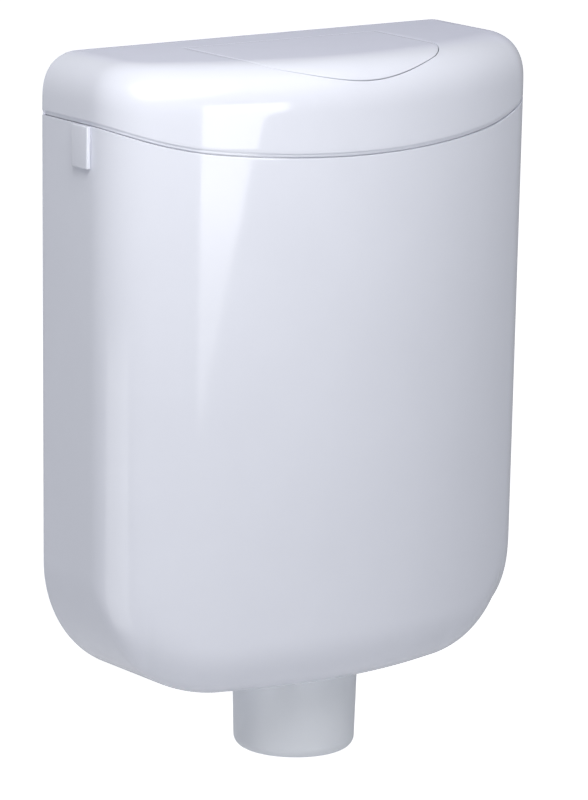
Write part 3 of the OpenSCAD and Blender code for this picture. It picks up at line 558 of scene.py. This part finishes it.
def rayOut(i):  # from the lid's centre to a point of its outline
    px, py = lidLoop[i % len(lidLoop)]
    length = hypot(px, py - lid["centreY"])
    return (0, lid["centreY"]), (px / length, (py - lid["centreY"]) / length), length


def lidPoint(i, j):
    px, py = lidLoop[i % len(lidLoop)]
    if j <= lid["topRows"]:
        inner = meet(plateGap, *rayOut(i))
        share = 1 - (1 - j / lid["topRows"]) ** 2  # rows crowd towards the edge
        x, y = inner[0] + (px - inner[0]) * share, inner[1] + (py - inner[1]) * share
        return x, y, lidHeight(x, y)
    top = lidHeight(px, py)
    share = (j - lid["topRows"]) / lid["skirtRows"]
    return px, py, top + (rimAt(px) - top) * share


lidShell = drapeGrid("lidShell", len(lidLoop), lid["topRows"] + lid["skirtRows"], lidPoint, closed=True)
giveWall(lidShell, lid["wall"])
softenEdges(lidShell, lid["edge"], segments=4, angle=50)
# the set-back band in the seam
lidStep = ringStrip("lidStep", lid["stepIn"], lid["stepRear"], lid["stepSection"])


def lugPlate(name, x, outline):  # a lug cut from a (y, z) outline with the pin's hole through it
    edgeX = (x - lid["lugW"] / 2, x + lid["lugW"] / 2)

    def place(i, j):
        a = 2 * pi * i / lid["lugSteps"]
        dy, dz = cos(a), sin(a)
        if j % 4 in (0, 1):
            far = outline(dy, dz)
        else:
            far = lid["pinR"]
        return edgeX[1 if j % 4 in (1, 2) else 0], lid["hingeY"] + far * dy, lid["hingeZ"] + far * dz
    return drapeGrid(name, lid["lugSteps"], 4, place, closed=True)


def rayToBox(dy, dz, yLow, yHigh, zLow, zHigh):
    far = 100
    for d, low, high in ((dy, yLow, yHigh), (dz, zLow, zHigh)):
        if d > 1e-9:
            far = min(far, high / d)
        if d < -1e-9:
            far = min(far, low / d)
    return far


def lidLug(dy, dz):  # round in front, running back under the rear of the lid
    r = lid["lugR"]
    return r if dy < 0 else rayToBox(dy, dz, -r, lid["lugBack"], -r, r)


def plateLug(dy, dz):  # round below, running up into the plate
    r = lid["lugR"]
    return r if dz < 0 else rayToBox(dy, dz, -r, r, -r, plate["lugUp"])


def sideBlock(name, side, xs, ys, zs, edge):  # side is -1 on the left and 1 on the right
    return block(name, *zip(sorted(side * x for x in xs), ys, zs), edge)


lidFittings = []
rootX = (lid["hingeX"] - lid["lugW"] / 2, lid["hingeX"] + lid["lugW"] / 2)
rootZ = (lid["rootLow"], lid["intoTop"])
hangerX = (lid["barX"] - lid["hangerW"], lid["barX"])
hangerZ = (lid["barZ"][0] + lid["hangerUp"], lid["intoTop"])
seamZ = [body["rimZ"] + up for up in lid["seamUp"]]
for s in (-1, 1):
    lidFittings.append(lugPlate("lidLug", s * lid["hingeX"], lidLug))
    lidFittings.append(sideBlock("lidLugRoot", s, rootX, lid["rootY"], rootZ, 0))
    lidFittings.append(sideBlock("barHanger", s, hangerX, lid["barY"], hangerZ, lid["blockEdge"]))
    lidFittings.append(sideBlock("seamCorner", s, lid["seamX"], lid["seamY"], seamZ, lid["seamEdge"]))
    for padY in lid["padY"]:
        lidFittings.append(sideBlock("lidPad", s, lid["padX"], padY, lid["padZ"], lid["blockEdge"]))
barX = (-lid["barX"], lid["barX"])
lidFittings.append(sideBlock("springBar", 1, barX, lid["barY"], lid["barZ"], lid["barEdge"]))
lidShell = joinPieces("lidShell", [lidShell, lidStep] + lidFittings)
smoothFaces(lidShell)
mount(lidShell, "lid", "lid", glossWhite)
print("lid shell:", len(lidShell.data.polygons), "faces")


# flush plate: the same surface inside the opening, with its hinge lugs and push finger

def plateInset(x, y):  # the gap round the plate narrows towards its front and closes at its rear
    front, side = plate["gap"]
    share = min(1, max(0, (y + plate["front"]) / (plateY + plate["front"])))
    inside = plateGap(x, min(y, plateY)) + front + (side - front) * share
    return max(inside, y + plate["rear"] + plate["rearGap"])


def platePoint(i, j):
    start = rayOut(i)[0]
    rim = meet(plateInset, *rayOut(i))
    share = (1 - j / plate["rows"]) ** 1.5  # rows crowd towards the middle
    x, y = start[0] + (rim[0] - start[0]) * share, start[1] + (rim[1] - start[1]) * share
    return x, y, lidHeight(x, y)


flushPlate = drapeGrid("flushPlateShell", len(lidLoop), plate["rows"], platePoint, closed=True)
giveWall(flushPlate, plate["wall"])
softenEdges(flushPlate, plate["edge"], angle=50)
plateFittings = [lugPlate("plateLug", s * plate["lugX"], plateLug) for s in (-1, 1)]
finger = block("pushFinger", *zip(plate["fingerX"], plate["fingerY"], plate["fingerZ"]), 0)
pickOnly(finger)
for edge in finger.data.edges:  # the two low edges across the finger, to round its tip right over
    ends = [finger.data.vertices[v].co / mm for v in edge.vertices]
    low = all(end.z < plate["fingerZ"][0] + 1 for end in ends)
    edge.select = low and abs(ends[0].y - ends[1].y) < 0.001
bpy.ops.object.mode_set(mode="EDIT")
bpy.ops.mesh.bevel(offset=plate["tipR"] * mm, segments=8)
bpy.ops.object.mode_set(mode="OBJECT")
flushPlate = joinPieces("flushPlateShell", [flushPlate, finger] + plateFittings)
smoothFaces(flushPlate)
mount(flushPlate, "plate", "flush_plate", glossWhite)
print("flush plate:", len(flushPlate.data.polygons), "faces")


# collar round the outlet, turned from its section

collar = {
    "centre": (0, -59), "steps": 144, "topR": 47, "lowR": 45.5, "top": -367.5, "bottom": -430.6, "edgeR": 8,
    "wall": 2.5, "bore": 27.9, "boreEdge": 0.5, "web": (-376, -373), "webR": 30.6,
    "wallRows": 6, "edgeRows": 10,
}


def collarProfile():
    low, bore, ease = collar["bottom"], collar["bore"], collar["boreEdge"]
    edgeZ = low + collar["edgeR"]
    edgeX = collar["lowR"] - collar["edgeR"]
    taper, fall = collar["lowR"] - collar["topR"], edgeZ - collar["top"]
    shares = [k / collar["wallRows"] for k in range(collar["wallRows"])]
    turns = [pi / 2 * k / collar["edgeRows"] for k in range(collar["edgeRows"] + 1)]
    outside = [(collar["topR"] + taper * share, collar["top"] + fall * share) for share in shares]
    outside += [(edgeX + collar["edgeR"] * cos(a), edgeZ - collar["edgeR"] * sin(a)) for a in turns]
    inside, insideTop = collar["lowR"] - collar["wall"], collar["topR"] - collar["wall"]
    ledge = low + collar["wall"]
    webLow, webTop = collar["web"]
    return outside + [
        (bore + ease, low), (bore, low + ease), (bore, ledge), (inside, ledge), (inside, webLow),
        (collar["webR"], webLow), (collar["webR"], webTop), (insideTop, webTop), (insideTop, collar["top"])]


outletCollar = lathe("outletCollarShell", collarProfile(), collar["centre"], collar["steps"])
smoothFaces(outletCollar)
mount(outletCollar, "tank", "outlet_collar", satinWhite)
print("collar turned")


# blanking cover on the left side, a cushioned tile on a round plug

blank = {"x": (-193.745, -190.045), "y": (-64, -44), "z": (25.75, 56.5), "edge": 1.0,
         "plugX": (-191, -179.9), "plugR": 8.53, "plugEdge": 0.6, "plugSides": 96}
cover = block("inletCover", *zip(blank["x"], blank["y"], blank["z"]), 0)
softenEdges(cover, blank["edge"], segments=5)
plugEnds = [(x, tank["inletY"], tank["inletZ"]) for x in blank["plugX"]]
plug = rod("inletPlug", *plugEnds, blank["plugR"], blank["plugSides"])
softenEdges(plug, blank["plugEdge"])
cover = joinPieces("inletCover", [cover, plug])
smoothFaces(cover)
mount(cover, "tank", "inlet_blank", glossWhite)
print("blanking cover done")


# return spring: five open turns between two closed end turns, wound at one fixed length

spring = {"x": 0, "y": -63, "low": 80.5, "high": 98.5, "wireR": 0.6, "coilR": 5.5, "turns": 5,
          "endPitch": 1.3, "steps": 40, "sides": 14, "keep": 0.74}
springTurns = spring["turns"] + 2
springRows = springTurns * spring["steps"]


def springPoint(i, j):
    k = min(max(j - 1, 0), springRows)
    turn = k / spring["steps"]
    first, last = spring["low"] + spring["wireR"], spring["high"] - spring["wireR"]
    openPitch = (last - first - 2 * spring["endPitch"]) / spring["turns"]
    rise = min(turn, 1) * spring["endPitch"] + max(0, min(turn - 1, spring["turns"])) * openPitch
    rise += max(0, turn - 1 - spring["turns"]) * spring["endPitch"]
    wire = spring["wireR"] if 0 < j < springRows + 2 else 0
    a, b = 2 * pi * turn, 2 * pi * i / spring["sides"]
    far = spring["coilR"] + wire * cos(b)
    return spring["x"] + far * cos(a), spring["y"] + far * sin(a), first + rise + wire * sin(b)


returnSpring = drapeGrid("returnSpring", spring["sides"], springRows + 2, springPoint, closed=True)
smoothFaces(returnSpring, angle=50)
mount(returnSpring, "lid", "return_spring", drawnSteel)
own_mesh(returnSpring)
print("spring wound:", springTurns, "turns")


# inlet nipple: a pipe thread cut on both sides of its flange

nipple = {
    "x": (165.845, 200.845), "r": 8.33, "bore": 4.83, "boreEase": 0.4, "endEase": 1.1, "sides": 60,
    "flangeX": (190.045, 192.345), "flangeR": 12.33, "flangeEase": 0.3,
    "pitch": 1.337, "depth": 0.86, "perTurn": 10, "leadIn": 0.5, "runOut": 0.6, "flank": 2.4, "crest": 0.1,
}


def nippleRows():  # (x, radius, threaded) along the outside, then back along the bore
    low, high = nipple["x"]
    near, past = nipple["flangeX"]
    r, wide, soft = nipple["r"], nipple["flangeR"], nipple["flangeEase"]
    bore, ease, tip = nipple["bore"], nipple["boreEase"], r - nipple["endEase"]
    step = nipple["pitch"] / nipple["perTurn"]
    inner = int((near - low - nipple["runOut"]) / step)
    outer = int((high - past - 2 * nipple["runOut"]) / step)
    rows = [(low, bore + ease, 0), (low, tip, 0)]
    rows += [(low + nipple["leadIn"] + step * k, r, 1) for k in range(inner)]
    rows += [(near, r, 0), (near, wide - soft, 0), (near + soft, wide, 0)]
    rows += [(past - soft, wide, 0), (past, wide - soft, 0), (past, r - nipple["depth"], 0)]
    rows += [(past + nipple["runOut"] + step * k, r, 1) for k in range(outer)]
    rows += [(high, tip, 0), (high, bore + ease, 0), (high - ease, bore, 0), (low + ease, bore, 0)]
    return rows


threadRows = nippleRows()


def nipplePoint(i, j):
    x, r, cut = threadRows[j % len(threadRows)]
    a = 2 * pi * i / nipple["sides"]
    phase = (x / nipple["pitch"] - i / nipple["sides"]) % 1
    groove = nipple["flank"] * abs(phase - 0.5) - nipple["crest"]
    r -= cut * nipple["depth"] * min(1, max(0, groove))  # crest and root are a little flat
    return x, tank["inletY"] + r * cos(a), tank["inletZ"] + r * sin(a)


inletNipple = drapeGrid("inletNipple", nipple["sides"], len(threadRows), nipplePoint, closed=True)
smoothFaces(inletNipple, angle=28)
mount(inletNipple, "tank", "inlet_nipple", turnedBrass)
print("inlet thread:", len(threadRows), "rows")


# finishes of the CAD nodes that stay

finishes = (
    (milkyPlastic, ("bridge", "valve_cage", "valve_seat", "outlet_nut", "inlet_nut", "fill_valve_body",
                    "valve_piston", "float_rod")),
    (greyPlastic, ("blank_clip",)),
    (bluePlastic, ("rocker", "lift_yoke", "float_arm", "valve_bonnet", "seal_retainer")),
    (pipePlastic, ("valve_tube", "fill_tube")),
    (floatPlastic, ("float", "valve_float")),
    (sealRubber, ("diaphragm", "inlet_washer", "valve_seal", "seat_gasket", "outlet_washer", "pipe_seal")),
    (drawnSteel, ("hinge_pins", "arm_pin", "rocker_pin", "bridge_screws", "lift_bar")),
)
for material, nodes in finishes:
    for name in nodes:
        for slot in frame["nodes"][name].material_slots:
            slot.material = material
print("CAD nodes finished")


# studio: pale floor well below the wall-hung tank, white surroundings, soft lamps

studio = {"floorZ": -1.05, "floorSize": 30, "paper": "#f2f3f5", "surround": "#eef1f8", "world": 0.33,
          "whiteLevel": 1.0, "reflectShare": 0.12, "floorGlow": 0.85}


def whiteShare(tree):  # 1 to the camera, a small share in reflections, 0 for light on the object
    rays = addNode(tree, "ShaderNodeLightPath").outputs
    mirror = addNode(tree, "ShaderNodeMath", {0: rays["Is Glossy Ray"], 1: rays["Is Transmission Ray"]},
                     operation="MAXIMUM")
    part = addNode(tree, "ShaderNodeMath", {0: mirror.outputs[0], 1: studio["reflectShare"]},
                   operation="MULTIPLY")
    seen = addNode(tree, "ShaderNodeMath", {0: rays["Is Camera Ray"], 1: part.outputs[0]},
                   operation="MAXIMUM")
    return seen.outputs[0]


deselectAll()
bpy.ops.mesh.primitive_plane_add(size=studio["floorSize"], location=(0, 0, 0))
floor = bpy.context.active_object
floor.name = "studioFloor"
for point in floor.data.vertices:
    point.co.z = studio["floorZ"]
paper, tree = newMaterial("matPaperFloor")  # seamless white paper: no gloss, shows only soft shadows
lift = addNode(tree, "ShaderNodeMath", {0: whiteShare(tree), 1: studio["floorGlow"]}, operation="MULTIPLY")
matt = addNode(tree, "ShaderNodeBsdfDiffuse", {"Color": hexColour(studio["paper"])})
glow = addNode(tree, "ShaderNodeEmission", {"Color": hexColour("#ffffff"), "Strength": lift.outputs[0]})
both = addNode(tree, "ShaderNodeAddShader", {0: matt.outputs[0], 1: glow.outputs[0]})
addNode(tree, "ShaderNodeOutputMaterial", {"Surface": both.outputs[0]})
floor.data.materials.append(paper)

world = bpy.data.worlds.new("whiteStudio")
bpy.context.scene.world = world
world.use_nodes = True
tree = world.node_tree
tree.nodes.clear()
ambient = addNode(tree, "ShaderNodeBackground", {
    "Color": hexColour(studio["surround"]), "Strength": studio["world"]})
white = addNode(tree, "ShaderNodeBackground", {
    "Color": hexColour("#ffffff"), "Strength": studio["whiteLevel"]})
mixed = addNode(tree, "ShaderNodeMixShader", {
    0: whiteShare(tree), 1: ambient.outputs[0], 2: white.outputs[0]})
addNode(tree, "ShaderNodeOutputWorld", {"Surface": mixed.outputs[0]})

lamps = {
    "keySoftbox": {"azimuth": -41, "elevation": 43, "distance": 1.0, "size": (1.15, 1.15), "watts": 24.2,
                   "core": 0.1},
    "tallWindow": {"azimuth": -2.7, "elevation": -5.4, "distance": 2.0, "size": (0.85, 1.0), "watts": 10,
                   "slant": 0.55, "blur": 0.012, "fade": (0.14, 0.3), "dim": 0.42},
    "topFill": {"azimuth": -5, "elevation": 55, "distance": 0.9, "size": (0.9, 0.7), "watts": 1.25},
    "lowLeftFill": {"azimuth": -85, "elevation": -35, "distance": 1.5, "size": (1.0, 1.0), "watts": 3.1},
    "lowFrontFill": {"azimuth": 6, "elevation": -66, "distance": 0.85, "size": (1.1, 1.1), "watts": 0.28},
    "backFill": {"azimuth": 185, "elevation": 4, "distance": 1.8, "size": (1.0, 1.0), "watts": 6},
    "skyPanel": {"azimuth": 144, "elevation": 14, "distance": 2.0, "size": (1.7, 0.9), "watts": 0.95,
                 "tint": "#9a9ae6"},
}
aim = Vector((0, -0.08, 0.05))
for name, lamp in lamps.items():
    az, el = radians(lamp["azimuth"]), radians(lamp["elevation"])
    away = Vector((sin(az) * cos(el), -cos(az) * cos(el), sin(el)))
    deselectAll()
    bpy.ops.object.light_add(type="AREA", location=aim + away * lamp["distance"])
    light = bpy.context.active_object
    light.name = name
    light.data.shape = "RECTANGLE"
    light.data.size, light.data.size_y = lamp["size"]
    light.data.energy = lamp["watts"]
    light.data.color = hexColour(lamp.get("tint", "#ffffff"))[:3]
    light.rotation_euler = away.to_track_quat("Z", "Y").to_euler()
    light.visible_camera = False
    light.data.use_nodes = True
    tree = light.data.node_tree
    where = addNode(tree, "ShaderNodeNewGeometry").outputs["Parametric"]
    if "slant" in lamp:  # its lower edge rises to the right, and its lower part is dimmer
        spot = addNode(tree, "ShaderNodeSeparateXYZ", {0: where}).outputs
        edge = addNode(tree, "ShaderNodeMath", {0: spot["X"], 1: -lamp["slant"], 2: spot["Y"]},
                       operation="MULTIPLY_ADD")
        fade = addNode(tree, "ShaderNodeMapRange", {
            "Value": spot["Y"], "From Min": lamp["fade"][0], "From Max": lamp["fade"][1],
            "To Min": lamp["dim"]}, interpolation_type="SMOOTHSTEP")
        share = addNode(tree, "ShaderNodeMapRange", {
            "Value": edge.outputs[0], "From Min": 0.0, "From Max": lamp["blur"],
            "To Max": fade.outputs["Result"]})
        tree.links.new(share.outputs["Result"], tree.nodes["Emission"].inputs["Strength"])
    if "core" in lamp:  # bright in the middle of its cloth and dim at the edge
        far = addNode(tree, "ShaderNodeVectorMath", {0: where, 1: (0.5, 0.5, 0)}, operation="DISTANCE")
        share = addNode(tree, "ShaderNodeMapRange", {
            "Value": far.outputs["Value"], "From Min": 0.5, "From Max": lamp["core"]},
            interpolation_type="SMOOTHSTEP")
        tree.links.new(share.outputs["Result"], tree.nodes["Emission"].inputs["Strength"])
print("studio lit by", len(lamps), "lamps")


# camera matched to the photograph, an image of 588 by 800

view = {"azimuth": -36.06, "elevation": 12.26, "roll": 0.86, "lens": 225.7, "away": 3730.0,
        "right": 27.8425, "up": -230.9105, "lift": 60, "clipEnd": 60}
az, el, roll = (radians(view[k]) for k in ("azimuth", "elevation", "roll"))
back = Vector((sin(az) * cos(el), -cos(az) * cos(el), sin(el)))
level = Vector((cos(az), sin(az), 0))
upright = back.cross(level)
across = cos(roll) * level + sin(roll) * upright
above = -sin(roll) * level + cos(roll) * upright
stand = back * view["away"] + across * view["right"] + above * view["up"] + Vector((0, 0, view["lift"]))
deselectAll()
bpy.ops.object.camera_add()
camera = bpy.context.active_object
camera.matrix_world = Matrix.Translation(stand * mm) @ Matrix((across, above, back)).transposed().to_4x4()
camera.data.lens = view["lens"]
camera.data.clip_end = view["clipEnd"]
bpy.context.scene.camera = camera
bpy.context.scene.view_settings.view_transform = "Standard"
deselectAll()
